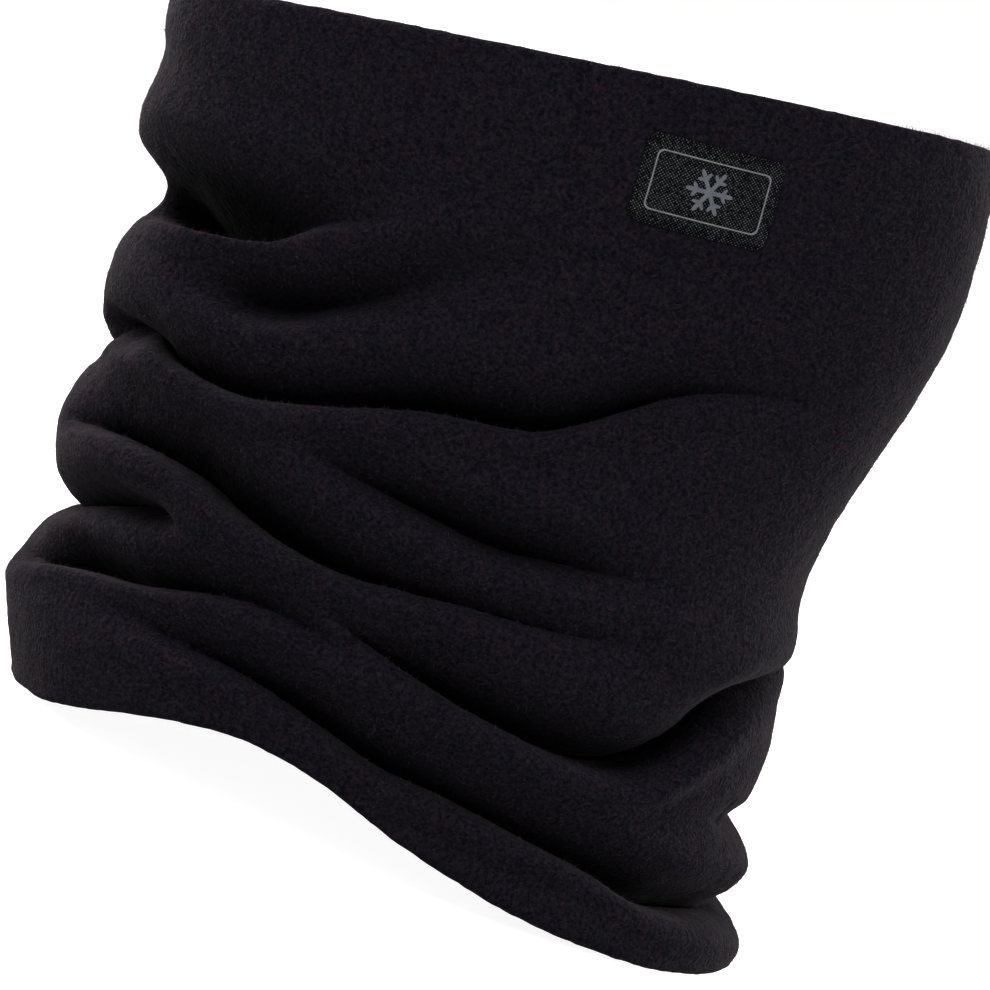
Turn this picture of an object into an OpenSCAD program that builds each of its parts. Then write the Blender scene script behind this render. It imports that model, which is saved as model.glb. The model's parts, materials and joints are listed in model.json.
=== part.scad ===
// Neck gaiter: a slouching, two-layer fleece tube standing on its bottom edge.
// Directions round the tube are angles: 0 faces the front (-Y), 90 the right (+X),
// 180 the back and -90 the left. The origin is the middle of the footprint, on the ground.

/* [Tube] */
// Half depth of the oval, front to back, at the bottom
depth_low = 73; // [68:1:78]
// Half depth of the oval at the top
depth_high = 60; // [56:1:64]
// Height of the top edge at the two sides, on average
top_height = 202; // [198:1:206]
// How far the top edge climbs towards the right side
top_climb = 20; // [16:1:24]
// How far the top edge climbs towards the front
top_front_climb = 6; // [4:1:8]
// How strongly the slouch folds are pressed in
fold_strength = 1; // [0.5:0.1:1]

/* [Fabric] */
// Thickness of the outer fleece layer
shell_thickness = 2; // [1.6:0.1:2.4]
// Thickness of the lining fleece layer
lining_thickness = 2; // [1.6:0.1:2.4]
// Air gap between the two layers
layer_gap = 0.8; // [0.7:0.1:1.2]
// Sewing thread radius
thread_r = 0.3; // [0.2:0.05:0.3]

/* [Patch] */
// Width of the woven patch
patch_w = 36; // [30:1:40]
// Height of the woven patch
patch_h = 22.5; // [18:0.5:26]
// Corner radius of the woven patch
patch_corner = 3; // [2:0.5:5]
// Width of the printed frame on the patch
frame_w = 29; // [24:1:30]
// Height of the printed frame on the patch
frame_h = 15.3; // [12:0.1:18]
// Corner radius of the printed frame
frame_corner = 1.6; // [1:0.1:3]
// Width of the printed line
line_w = 0.5; // [0.3:0.1:0.8]
// Tip to tip size of the printed snowflake
flake_d = 12; // [8:0.5:13]
// Turn of the patch, anticlockwise
patch_turn = 7; // [0:1:10]

/* [Care label] */
// Height of the care label
label_h = 22; // [16:1:24]
// Length of the care label, out from its stitches
label_len = 30; // [20:1:34]
// Thickness of the folded label ribbon
label_t = 0.5; // [0.4:0.1:0.6]
// Angle between the resting label and the wall's tangent
label_rest = 5; // [5:1:8]

/* [Hidden] */
$fn = 48;

COLUMNS = 64;            // corners round the tube
LEVELS = 28;             // steps up the tube
THREAD_SIDES = 6;
STEP = 360 / COLUMNS;

// Left and right edges of the tube, as [height, x], before the folds are pressed in
LEFT_EDGE = [[0, -87], [10, -94], [24, -100], [70, -101], [108, -103], [150, -111], [184, -115],
             [225, -117]];
RIGHT_EDGE = [[0, 113], [3, 115], [10, 114], [30, 109], [60, 102], [100, 96], [125, 97], [170, 103],
              [196, 102], [211, 99], [226, 94]];

// Bottom edge, as [direction, height]: it touches the ground at the sides and arches at the front
BOTTOM_EDGE = [[-180, 3], [-150, 1], [-135, 0], [-100, 0], [-75, 1.5], [-61, 3], [-47, 8], [-36, 13],
               [-27, 17], [-20, 19.5], [-13, 20], [-7, 19], [-1, 16.5], [11, 9.5], [23, 4.5],
               [31, 2.5], [48, 0.5], [55, 0], [130, 0], [150, 2], [180, 3]];

// Slouch folds: reach above the crease, reach below it, and the crease as [direction, height, depth]
FOLDS = [
    // deep pocket, high on the left
    [20, 11, [[-172, 138, 0], [-145, 134, 5], [-115, 132, 8], [-90, 133, 9], [-75, 134, 12],
              [-64, 134, 13], [-55, 133, 13], [-48, 134, 11], [-41, 135, 8], [-34, 139, 5],
              [-26, 145, 3], [-16, 152, 0]]],
    // soft brow between the pocket and the long crease
    [16, 12, [[-60, 119, 0], [-47, 120, 5], [-39, 121, 7], [-31, 124, 8], [-24, 130, 7],
              [-15, 139, 5], [-9, 145, 4], [-2, 152, 2], [8, 160, 0]]],
    // long crease across the front
    [18, 12, [[-94, 97, 0], [-82, 99, 6], [-67, 100, 9], [-50, 99, 9], [-33, 100, 9], [-23, 105, 10],
              [-13, 111, 10], [-5, 116, 10], [2, 118, 10], [12, 121, 10], [18, 129, 9], [24, 137, 8],
              [30, 142, 6], [37, 146, 4], [54, 150, 0]]],
    // upper and lower creases that pinch a lobe out at the left
    [12, 10, [[-175, 108, 0], [-150, 106, 4], [-120, 103, 7], [-98, 101, 8], [-84, 100, 5],
              [-74, 101, 0]]],
    [10, 10, [[-190, 84, 0], [-160, 86, 4], [-125, 88, 7], [-98, 89, 8], [-84, 92, 6], [-72, 98, 0]]],
    // sash that falls from the left towards the middle
    [15, 12, [[-88, 68, 0], [-78, 71, 6], [-61, 76, 9], [-50, 77, 10], [-40, 77, 11], [-28, 73, 11],
              [-19, 71, 10], [-10, 70, 9], [0, 72, 7], [9, 74, 5], [20, 75, 4], [30, 77, 3],
              [42, 79, 0]]],
    // short slit low on the left, with an abrupt end
    [10, 8, [[-150, 42, 0], [-125, 45, 6], [-100, 48, 7], [-85, 49, 8], [-68, 54, 9], [-56, 58, 11],
             [-46, 61, 10], [-42, 61, 7], [-38, 61, 0]]],
    // sill under the slit
    [10, 8, [[-86, 38, 0], [-74, 40, 6], [-66, 41, 9], [-56, 42, 9], [-46, 45, 9], [-38, 49, 8],
             [-30, 52, 7], [-23, 54, 6], [-16, 54, 5], [-9, 52, 3], [0, 51, 0]]],
    // soft crimp in the middle of the front
    [14, 11, [[-26, 94, 0], [-16, 93, 3], [-5, 93, 6], [3, 92, 7], [11, 91, 7], [21, 91, 6],
              [29, 92, 4], [42, 96, 0]]],
    // cup: the deepest fold, under the right of the front and rising round the right side
    [18, 12, [[-12, 60, 0], [-4, 57, 5], [4, 54, 8], [12, 51, 11], [24, 48, 12], [34, 47, 13],
              [43, 48, 13], [50, 53, 12], [59, 64, 11], [66, 71, 9], [78, 75, 8], [90, 78, 7],
              [110, 81, 6], [135, 78, 5], [165, 73, 0]]],
    // crease that follows the bottom edge
    [13, 10, [[-54, 35, 0], [-43, 36, 3], [-36, 36, 4], [-27, 37, 6], [-16, 36, 8], [-6, 33, 9],
              [3, 30, 9], [12, 29, 9], [26, 25, 9], [40, 22, 10], [52, 18, 11], [65, 18, 11],
              [76, 17, 10], [90, 15, 8], [115, 19, 7], [140, 24, 5], [170, 27, 0]]],
    // nick at the right side
    [9, 8, [[50, 42, 0], [60, 39, 4], [73, 38, 5], [95, 38, 5], [120, 38, 3], [138, 42, 0]]],
    // three folds round the back
    [18, 12, [[118, 104, 0], [140, 110, 5], [165, 116, 7], [190, 118, 6], [208, 114, 0]]],
    [15, 11, [[105, 54, 0], [130, 50, 6], [160, 54, 8], [190, 62, 8], [215, 67, 7], [240, 68, 5],
              [262, 72, 0]]],
    [12, 10, [[165, 30, 0], [185, 29, 6], [210, 26, 7], [240, 28, 6], [262, 33, 0]]]
];
// The same creases as separate [direction, height] and [direction, depth] tables
CREASE_Z = [for (f = FOLDS) [for (p = f[2]) [p[0], p[1]]]];
CREASE_D = [for (f = FOLDS) [for (p = f[2]) [p[0], p[2]]]];

LINING_OUT = shell_thickness + layer_gap;
LINING_IN = LINING_OUT + lining_thickness;
RIM_GAP = 0.1;           // gap between the layers where their turned edges meet
SEAM_HALF = 2.5;         // half the distance between the two rows of a back seam
THREAD_LIFT = thread_r + 0.35;

function total(v) = v * [for (x = v) 1];
function ease(x) = let (c = min(1, max(0, x))) c * c * (3 - 2 * c);
function mix(p, q, t) = p + (q - p) * t;

// Oval outline of the tube at height z
function half_width(z) = (lookup(z, RIGHT_EDGE) - lookup(z, LEFT_EDGE)) / 2;
function mid_x(z) = (lookup(z, RIGHT_EDGE) + lookup(z, LEFT_EDGE)) / 2;
function half_depth(z) = depth_low + (depth_high - depth_low) * ease((z - 50) / 100);
function bottom_z(dir) = lookup(dir, BOTTOM_EDGE);
function top_z(dir) = top_height + top_climb * sin(dir) + top_front_climb * cos(dir);

// Pull of one fold at a distance from its crease: 1 on the crease, 0 at its reach
function pull(dz, above, below) =
    let (s = min(1, dz >= 0 ? dz / above : -dz / below)) 0.5 + 0.5 * cos(180 * s);

// How far fold k is pressed in; its crease may run past the back, so whole turns are tried
function fold_depth(k, dir, z) =
    let (first = FOLDS[k][2][0][0], last = FOLDS[k][2][len(FOLDS[k][2]) - 1][0],
         hits = [for (turn = [-360, 0, 360]) if (dir + turn >= first && dir + turn <= last) dir + turn])
    len(hits) == 0 ? 0
    : lookup(hits[0], CREASE_D[k]) * pull(z - lookup(hits[0], CREASE_Z[k]), FOLDS[k][0], FOLDS[k][1]);
function pressed(dir, z) = fold_strength * total([for (k = [0:len(FOLDS) - 1]) fold_depth(k, dir, z)]);

// Point of the wall, inset from the outer surface, at a share t of the way up
function wall(dir, t, inset) =
    let (z = mix(bottom_z(dir), top_z(dir), t), a = half_width(z), b = half_depth(z),
         out = [b * sin(dir), -a * cos(dir)], n = out / norm(out), p = inset + pressed(dir, z))
    [mid_x(z) + a * sin(dir) - p * n[0], -b * cos(dir) - p * n[1], z];

// Triangles between ring a of corners and ring b; cross picks the other diagonal of each face
function band(a, b, count, cross = false) = [
    for (j = [0:count - 1])
        let (k = (j + 1) % count)
        each (cross ? [[a + j, b + j, a + k], [a + k, b + j, b + k]]
              : [[a + j, b + j, b + k], [a + j, b + k, a + k]])
];

// Closed layer of fabric between an outer and an inner inset; the insets at the rims differ
module layer(outer, inner, rim_outer, rim_inner) {
    up = [for (i = [0:LEVELS]) [i / LEVELS, i % LEVELS == 0 ? rim_outer : outer]];
    down = [for (i = [LEVELS:-1:0]) [i / LEVELS, i % LEVELS == 0 ? rim_inner : inner]];
    rings = concat(up, down);
    points = [for (r = rings, j = [0:COLUMNS - 1]) wall(j * STEP - 180, r[0], r[1])];
    count = len(rings);
    // the way down crosses its faces, so that layers that lie on each other have the same facets
    faces = [
        for (i = [0:count - 1])
            each band(i * COLUMNS, (i + 1) % count * COLUMNS, COLUMNS, i > LEVELS)
    ];
    polyhedron(points, faces);
}

// Thread along a path; side is a direction across the path
module thread(path, side, closed) {
    count = len(path);
    last = count - 1;
    function step_at(i) = closed ? path[(i + 1) % count] - path[(i + last) % count]
        : path[min(i + 1, last)] - path[max(i - 1, 0)];
    points = [
        for (i = [0:last])
            let (v = cross(step_at(i), side), w = v / norm(v), s = side / norm(side))
            for (k = [0:THREAD_SIDES - 1])
                let (turn = 360 * k / THREAD_SIDES)
                path[i] + thread_r * (s * cos(turn) + w * sin(turn))
    ];
    skin = [
        for (i = [0:closed ? last : last - 1])
            each band(i * THREAD_SIDES, (i + 1) % count * THREAD_SIDES, THREAD_SIDES)
    ];
    ends = closed ? [] : [
        [for (k = [0:THREAD_SIDES - 1]) k],
        [for (k = [THREAD_SIDES - 1:-1:0]) last * THREAD_SIDES + k]
    ];
    polyhedron(points, concat(skin, ends));
}

// Path up the back, beside the centre line, on the facets between two columns of corners
BACK_SHARE = SEAM_HALF / norm(wall(180, 0.5, 0) - wall(180 - STEP, 0.5, 0));
function back_path(inset, side) = [
    for (i = [1:LEVELS - 1])
        mix(wall(-180, i / LEVELS, inset), wall(side * (STEP - 180), i / LEVELS, inset), BACK_SHARE)
];

// Path round the tube between the layers, one level in from the bottom or the top rim
function rim_path(level) = [
    for (j = [0:COLUMNS - 1]) wall(j * STEP - 180, level / LEVELS, shell_thickness + layer_gap / 2)
];

module outer_shell() {
    color([0.085, 0.078, 0.092])
        layer(0, shell_thickness, 0, shell_thickness + (layer_gap - RIM_GAP) / 2);
}

module inner_lining() {
    color([0.11, 0.1, 0.12])
        layer(LINING_OUT, LINING_IN, LINING_OUT - (layer_gap - RIM_GAP) / 2, LINING_IN);
}

// Two rows of thread beside the centre back join
module back_rows(inset) {
    for (side = [-1, 1]) thread(back_path(inset, side), [1, 0, 0], false);
}

module outer_back_seam() {
    color([0.05, 0.05, 0.055]) back_rows(-THREAD_LIFT);
}

module lining_back_seam() {
    color([0.05, 0.05, 0.055]) back_rows(LINING_IN + THREAD_LIFT);
}

module top_edge_seam() {
    color([0.06, 0.06, 0.065]) thread(rim_path(LEVELS - 1), [0, 0, 1], true);
}

module bottom_edge_seam() {
    color([0.06, 0.06, 0.065]) thread(rim_path(1), [0, 0, 1], true);
}

// The patch lies on the smooth upper front, which is close to a round wall there
PATCH_DIR = 20;          // direction of the patch's middle
PATCH_Z = 189;
WALL_R = 173;            // the oval's radius at the patch
FILM_T = 0.25;
BASE_T = 0.45;
PRINT_T = 0.15;
PATCH_LIFT = 0.15;       // film's distance from the true oval
PATCH_A = half_width(PATCH_Z);
PATCH_B = half_depth(PATCH_Z);
PATCH_FACE = atan2(PATCH_B * sin(PATCH_DIR), PATCH_A * cos(PATCH_DIR));
PATCH_AXIS = [mid_x(PATCH_Z) + PATCH_A * sin(PATCH_DIR) - WALL_R * sin(PATCH_FACE),
              -PATCH_B * cos(PATCH_DIR) + WALL_R * cos(PATCH_FACE)];

// Rectangle with four equal rounded corners
module round_rect(w, h, r) {
    hull()
        for (x = [-1, 1], y = [-1, 1])
            translate([x * (w / 2 - r), y * (h / 2 - r)]) circle(r);
}

// Curved layer between two heights over the wall, cut to the flat outline given as a child
module curved(low, high) {
    inner = WALL_R + PATCH_LIFT + low;
    outer = WALL_R + PATCH_LIFT + high;
    intersection() {
        translate([PATCH_AXIS[0], PATCH_AXIS[1], PATCH_Z - 30])
            difference() {
                cylinder(h = 60, r = outer);
                translate([0, 0, -1]) cylinder(h = 62, r = inner);
            }
        translate([PATCH_AXIS[0], PATCH_AXIS[1], PATCH_Z])
            rotate([90, 0, PATCH_FACE]) translate([0, 0, WALL_R - 10])
                linear_extrude(20) rotate(patch_turn) children();
    }
}

// Six-armed snowflake with one pair of twigs on each arm
module snowflake(d, w) {
    for (turn = [0:60:300]) rotate(turn) {
        translate([0, -w / 2]) square([d / 2, w]);
        for (s = [-1, 1])
            translate([d * 0.27, 0]) rotate(s * 60) translate([0, -w / 2]) square([d * 0.17, w]);
    }
    circle(w * 1.3);
}

module patch_adhesive_film() {
    color([0.07, 0.07, 0.08]) curved(0, FILM_T) round_rect(patch_w - 1, patch_h - 1, patch_corner - 0.5);
}

module patch_base() {
    color([0.04, 0.04, 0.05]) curved(FILM_T, FILM_T + BASE_T) round_rect(patch_w, patch_h, patch_corner);
}

module patch_border_print() {
    color([0.5, 0.5, 0.54])
        curved(FILM_T + BASE_T, FILM_T + BASE_T + PRINT_T)
            difference() {
                round_rect(frame_w, frame_h, frame_corner);
                round_rect(frame_w - 2 * line_w, frame_h - 2 * line_w, frame_corner - line_w);
            }
}

module patch_emblem_print() {
    color([0.41, 0.44, 0.48])
        curved(FILM_T + BASE_T, FILM_T + BASE_T + PRINT_T) snowflake(flake_d, 1.1);
}

// The care label swings on the row of stitches that holds it, inside the back near the top
HINGE = [-5.5, 54, 160]; // foot of the hinge line
SLEEVE_R = 0.8;          // radius of the label's turned edge round the stitches
SLEEVE_CLEAR = 0.1;
TACK = 1.4;              // length of the stitches past each end of the label

module care_label() {
    color([0.75, 0.75, 0.74])
        translate(HINGE) rotate(-label_rest)
            difference() {
                union() {
                    cylinder(h = label_h, r = SLEEVE_R);
                    translate([0, -label_t / 2, 0]) cube([label_len, label_t, label_h]);
                }
                translate([0, 0, -1]) cylinder(h = label_h + 2, r = thread_r + SLEEVE_CLEAR);
            }
}

module care_label_stitch() {
    color([0.3, 0.3, 0.31])
        translate(HINGE) {
            translate([0, 0, -TACK]) cylinder(h = label_h + 2 * TACK, r = thread_r);
            for (z = [-TACK + thread_r, label_h + TACK - thread_r])
                translate([0, 0, z]) rotate([-90, 0, 0]) cylinder(h = 1, r = thread_r);
        }
}

outer_shell();
inner_lining();
outer_back_seam();
lining_back_seam();
top_edge_seam();
bottom_edge_seam();
patch_adhesive_film();
patch_base();
patch_border_print();
patch_emblem_print();
care_label();
care_label_stitch();
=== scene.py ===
"""Looks of the neck gaiter: two layers of black pile fleece, a woven patch, seams and a care label.

The CAD model is the frame. Directions round the tube are degrees: 0 faces the front (-Y), 90 the
right (+X), 180 the back. Lengths in the tables are millimetres and MM turns them into metres.
"""
import json
import math

import bpy
import numpy as np
from mathutils import Matrix, Vector


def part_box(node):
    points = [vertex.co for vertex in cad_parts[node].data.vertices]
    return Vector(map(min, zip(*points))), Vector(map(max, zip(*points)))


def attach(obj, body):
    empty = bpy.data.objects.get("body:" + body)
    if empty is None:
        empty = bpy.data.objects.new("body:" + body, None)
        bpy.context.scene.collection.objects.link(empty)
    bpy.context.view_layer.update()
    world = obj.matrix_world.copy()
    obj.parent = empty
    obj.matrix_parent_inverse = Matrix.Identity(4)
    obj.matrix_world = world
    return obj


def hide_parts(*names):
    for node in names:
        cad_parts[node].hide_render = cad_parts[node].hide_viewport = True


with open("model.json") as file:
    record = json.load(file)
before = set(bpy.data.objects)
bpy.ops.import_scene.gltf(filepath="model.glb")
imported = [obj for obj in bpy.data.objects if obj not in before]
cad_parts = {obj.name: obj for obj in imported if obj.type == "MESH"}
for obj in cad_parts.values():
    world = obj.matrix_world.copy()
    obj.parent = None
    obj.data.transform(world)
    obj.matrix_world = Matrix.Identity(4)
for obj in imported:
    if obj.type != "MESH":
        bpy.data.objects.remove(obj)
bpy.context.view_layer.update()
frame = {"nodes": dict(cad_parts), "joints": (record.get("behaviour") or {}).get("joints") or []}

MM = 0.001
UP = np.array([0.0, 0.0, 1.0])

# ---------------------------------------------------------------- camera, light and floor

VIEW_DISTANCE = 1.5        # camera to the middle of the gaiter
VIEW_WIDTH = 0.2554        # width of the view at that distance
VIEW_ELEVATION = 8         # degrees above the horizon
VIEW_ROLL = 22.4           # the gaiter leans clockwise in the view
VIEW_CENTRE = (0.011, -0.0012, 0.0914)
SENSOR = 36
FAR_CLIP = 20
CAMERA_GAMMA = 0.75        # below 1 gives the contrast of a camera's tone curve
LAMP_TARGET = Vector((0, 0, 0.1))
LAMPS = [                  # name, place, size, power, colour
    ("key", (-0.5, -0.9, 1.3), 0.5, 30, (1, 1, 1)),
    ("fill", (0.9, -0.8, 0.5), 0.8, 6, (1, 1, 1)),
    ("rim_left", (-0.82, 0.48, 0.4), 0.8, 46, (1, 0.93, 0.86)),
    ("rim_right", (0.84, 0.5, 0.3), 0.8, 38, (1, 0.95, 0.89)),
]
FLOOR_SIZE, FLOOR_GREY, FLOOR_GLOW = 8, 0.3, 0.92


def add_camera():
    elevation, roll = math.radians(VIEW_ELEVATION), math.radians(VIEW_ROLL)
    right = Vector((1, 0, 0))
    up = Vector((0, math.sin(elevation), math.cos(elevation)))
    ahead = Vector((0, math.cos(elevation), -math.sin(elevation)))
    x = right * math.cos(roll) + up * math.sin(roll)
    y = up * math.cos(roll) - right * math.sin(roll)
    place = Vector(VIEW_CENTRE) - ahead * VIEW_DISTANCE
    camera = bpy.data.objects.new("camera", bpy.data.cameras.new("camera"))
    camera.data.sensor_width = SENSOR
    camera.data.lens = SENSOR * VIEW_DISTANCE / VIEW_WIDTH
    camera.data.clip_end = FAR_CLIP
    camera.matrix_world = Matrix.Translation(place) @ Matrix((x, y, -ahead)).transposed().to_4x4()
    bpy.context.collection.objects.link(camera)
    bpy.context.scene.camera = camera


def add_lamp(name, place, size, power, colour):
    data = bpy.data.lights.new(name, "AREA")
    data.size, data.energy, data.color = size, power, colour
    lamp = bpy.data.objects.new(name, data)
    lamp.location = place
    lamp.rotation_euler = (LAMP_TARGET - Vector(place)).to_track_quat("-Z", "Y").to_euler()
    bpy.context.collection.objects.link(lamp)


def add_world():
    world = bpy.data.worlds.new("studio")
    world.use_nodes = True
    background = world.node_tree.nodes["Background"]
    background.inputs["Color"].default_value = (1, 1, 1, 1)
    background.inputs["Strength"].default_value = 1.0
    bpy.context.scene.world = world


def add_floor():
    """A glowing floor that renders white behind the gaiter."""
    bpy.ops.mesh.primitive_plane_add(size=FLOOR_SIZE, location=(0, 0, 0))
    floor = bpy.context.object
    floor.name = "floor"
    material = bpy.data.materials.new("floor_white")
    material.use_nodes = True
    shader = material.node_tree.nodes["Principled BSDF"]
    shader.inputs["Base Color"].default_value = (FLOOR_GREY, FLOOR_GREY, FLOOR_GREY, 1)
    shader.inputs["Roughness"].default_value = 0.9
    shader.inputs["Emission Color"].default_value = (1, 1, 1, 1)
    shader.inputs["Emission Strength"].default_value = FLOOR_GLOW
    floor.data.materials.append(material)


def add_studio():
    add_world()
    for lamp in LAMPS:
        add_lamp(*lamp)
    add_floor()
    view = bpy.context.scene.view_settings
    view.view_transform, view.gamma = "Standard", CAMERA_GAMMA


# ---------------------------------------------------------------- shape of the tube

DEPTH_LOW, DEPTH_HIGH = 73, 60         # half of the tube's depth, low down and high up
NARROW_START, NARROW_HEIGHT = 50, 100  # where it starts to narrow, and over what height
TOP_HEIGHT, TOP_CLIMB, TOP_FRONT_CLIMB = 201.5, 20, 6.5

# Left and right edges of the tube, as (height, x), before the folds are pressed in
LEFT_EDGE = [(0, -87), (8, -91), (16, -95), (25, -99), (32, -98), (38, -94.5), (46, -92), (52, -95),
             (58, -98), (65, -100.5), (72, -101), (80, -98.5), (87, -96.5), (94, -99.5), (103, -102.5),
             (112, -103.5), (122, -103), (131, -102.5), (136, -104), (142, -109), (149, -111),
             (158, -110.5), (165, -110), (172, -113.5), (184, -115), (225, -117)]
RIGHT_EDGE = [(0, 113), (4, 114.5), (9, 113), (15, 105.5), (21, 109), (27, 109.5), (33, 104), (38, 101),
              (46, 102), (58, 101.5), (70, 97.5), (78, 100), (84, 99), (93, 95), (103, 93.5),
              (118, 94.5), (134, 97), (152, 101), (170, 103.5), (185, 103.5), (200, 102), (211, 100),
              (226, 94)]

# Bottom edge, as (direction, height)
BOTTOM_EDGE = [(-180, 3), (-150, 1), (-135, 0), (-100, 0), (-75, 1.5), (-61, 3), (-47, 8),
               (-36, 13), (-27, 17), (-20, 19.5), (-13, 20), (-7, 19), (-1, 16.5), (11, 9.5),
               (23, 4.5), (31, 2.5), (48, 0.5), (55, 0), (130, 0), (150, 2), (180, 3)]

# Slouch folds: reach above the crease, reach below it, how sharp it is from 0 to 1, how far its
# root hangs below its mouth for each millimetre of depth, at its first and at its last direction,
# then the crease as (direction, height of its mouth, depth)
FOLDS = {
    "pocket": (20, 8, 0.4, (0.3, 0.6), [
        (-87, 131, 0), (-79, 131, 13), (-71, 131, 25), (-63, 132, 29), (-54, 134, 26),
        (-44, 137, 20), (-36, 141, 13), (-27, 149, 7), (-16, 156, 0)]),
    "pocket_side": (10, 20, 0, (0.1, 0.1), [
        (-172, 138, 0), (-145, 134, 5), (-115, 132, 7), (-90, 133, 6), (-72, 136, 4), (-60, 138, 0)]),
    "brow": (14, 10, 0.3, (0.2, 0.2), [
        (-58, 119, 0), (-47, 120, 7), (-39, 120, 12), (-31, 123, 13), (-24, 129, 11),
        (-15, 138, 8), (-9, 144, 6), (-2, 151, 3), (8, 160, 0)]),
    "notch": (8, 8, 0.6, (-0.4, -0.2), [
        (-84, 97, 0), (-77, 97, 9), (-70, 98, 16), (-63, 99, 11), (-55, 100, 0)]),
    "long_crease": (15, 7, 1, (0.4, 0.6), [
        (-80, 101, 0), (-71, 101, 4), (-63, 101, 10), (-56, 100, 14), (-44, 99, 15),
        (-33, 100, 15), (-23, 104, 16), (-13, 110, 17), (-5, 115, 18), (2, 117, 18), (12, 120, 17),
        (18, 128, 14), (24, 136, 11), (30, 142, 8), (37, 146, 5), (54, 150, 0)]),
    "lobe_top": (9, 5, 1, (0.3, 0.3), [
        (-175, 108, 0), (-150, 106, 4), (-125, 103, 6), (-108, 101, 6), (-96, 100, 0)]),
    "lobe_bottom": (8, 9, 1, (0.1, 0.1), [
        (-190, 84, 0), (-160, 86, 4), (-125, 87, 7), (-98, 88, 6), (-84, 91, 6), (-74, 97, 0)]),
    "sash": (15, 7, 1, (0.3, 0.6), [
        (-82, 69, 0), (-71, 73, 7), (-61, 76, 14), (-50, 77, 17), (-40, 77, 19), (-28, 73, 20),
        (-19, 71, 18), (-10, 70, 15), (0, 72, 12), (9, 74, 9), (20, 75, 7), (30, 77, 4),
        (42, 79, 0)]),
    "slit": (9, 8, 1, (0.1, -0.1), [
        (-150, 42, 0), (-125, 45, 6), (-100, 47, 7), (-85, 48, 8), (-68, 54, 15), (-57, 58, 20),
        (-48, 60, 21), (-43, 61, 14), (-38, 61, 0)]),
    "sill": (13, 6, 0.8, (0.2, 0.5), [
        (-92, 33, 0), (-80, 33, 7), (-72, 36, 14), (-64, 40, 20), (-55, 43, 18), (-46, 45, 14),
        (-38, 49, 12), (-30, 52, 10), (-23, 54, 9), (-16, 54, 7), (-9, 52, 4), (0, 51, 0)]),
    "crimp": (12, 8, 0.7, (0.3, 0.3), [
        (-24, 93, 0), (-15, 92, 7), (-5, 91, 12), (3, 90, 14), (11, 89, 14), (21, 91, 12),
        (29, 92, 7), (42, 95, 0)]),
    "cup": (15, 8, 1, (0.7, -0.6), [
        (-12, 60, 0), (-4, 57, 8), (4, 54, 13), (12, 51, 17), (24, 48, 19), (34, 47, 20),
        (43, 48, 20), (50, 53, 19), (59, 64, 16), (66, 71, 13), (78, 76, 8),
        (90, 78, 4), (110, 81, 5), (135, 78, 5), (165, 73, 0)]),
    "hem": (12, 7, 1, (0.4, 0.6), [
        (-48, 35, 0), (-38, 36, 5), (-32, 36, 7), (-26, 37, 10), (-16, 36, 13), (-6, 33, 15),
        (3, 29, 15), (12, 28, 15), (26, 25, 15), (40, 22, 16), (52, 17, 19), (64, 16, 22),
        (73, 16, 20), (82, 15, 10), (92, 14, 5), (115, 19, 6), (140, 24, 5), (170, 27, 0)]),
    "nick": (7, 6, 0.7, (0.1, 0.1), [
        (66, 40, 0), (76, 38, 4), (88, 37, 5), (100, 37, 4), (120, 38, 3), (138, 42, 0)]),
    "back_high": (18, 11, 1, (0.4, 0.4), [
        (118, 104, 0), (140, 110, 8), (165, 116, 12), (190, 118, 9), (208, 114, 0)]),
    "back_middle": (15, 9, 1, (0.5, 0.5), [
        (105, 54, 0), (130, 50, 9), (160, 54, 14), (190, 62, 14), (215, 67, 11), (240, 68, 7),
        (262, 72, 0)]),
    "back_low": (10, 8, 1, (0.4, 0.4), [
        (165, 30, 0), (185, 29, 8), (210, 26, 10), (240, 28, 7), (262, 33, 0)]),
}
TURN = 360
CREASE_BLUR, DEPTH_BLUR = 2.5, 2    # degrees over which a crease's corners and depth are rounded
CREASE_TAIL = 60           # degrees past its end over which a crease keeps its last height
EDGE_BLUR = 2              # millimetres over which the edge tables' corners are rounded
TABLE_LOW, TABLE_HIGH, TABLE_STEP = -40, 280, 0.5    # heights at which the edge tables are blurred
CUT = 0.85                 # share of a sharp fold's depth that is cut like an arc
MOUTH = 0.25               # share of a leaning fold's drop that is above its mouth
CREST = 0.12               # how far a sharp fold's lower side swells, as a share of its depth
SWELL_REACH = 2.2          # how far down that swelling goes, in reaches below the crease
PROFILE_ROWS = 900         # heights that a column is worked out at before its rows are spread
SOFT = 3                   # how much further down folds reach on all sides but the outer one
PAINTED_SHADE_START, PAINTED_SHADE_SPAN = 2, 11     # depth in a fold at which painted shade starts to darken the pile's colour, and how fast it deepens
SHELL = 2.1                # outer layer, outside to hidden side
LINING_OUT = 2.7           # inset of the lining's hidden side
LINING_IN = 4.8            # inset of the lining's visible side
ROLL = 2.5                 # radius of the turned edges


def ease(x):
    c = np.clip(x, 0, 1)
    return c * c * (3 - 2 * c)


def unit(vectors):
    return vectors / np.linalg.norm(vectors, axis=-1, keepdims=True)


def blur_ring(values, degrees):
    """Gaussian blur of values that go once round the tube."""
    rate = np.fft.rfftfreq(len(values)) * len(values)
    pass_band = np.exp(-0.5 * (rate * math.radians(degrees)) ** 2)
    return np.fft.irfft(np.fft.rfft(values) * pass_band, len(values))


def blurred_table(points, width):
    """A (height, value) table as a smooth function of height."""
    z = np.arange(TABLE_LOW, TABLE_HIGH, TABLE_STEP)
    steps = np.arange(-3 * width, 3 * width + TABLE_STEP, TABLE_STEP)
    weights = np.exp(-0.5 * (steps / width) ** 2)
    values = np.interp(z, [p[0] for p in points], [p[1] for p in points])
    padded = np.pad(values, len(steps) // 2, mode="edge")
    smooth = np.convolve(padded, weights / weights.sum(), "valid")
    return lambda height: np.interp(height, z, smooth)


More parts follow.
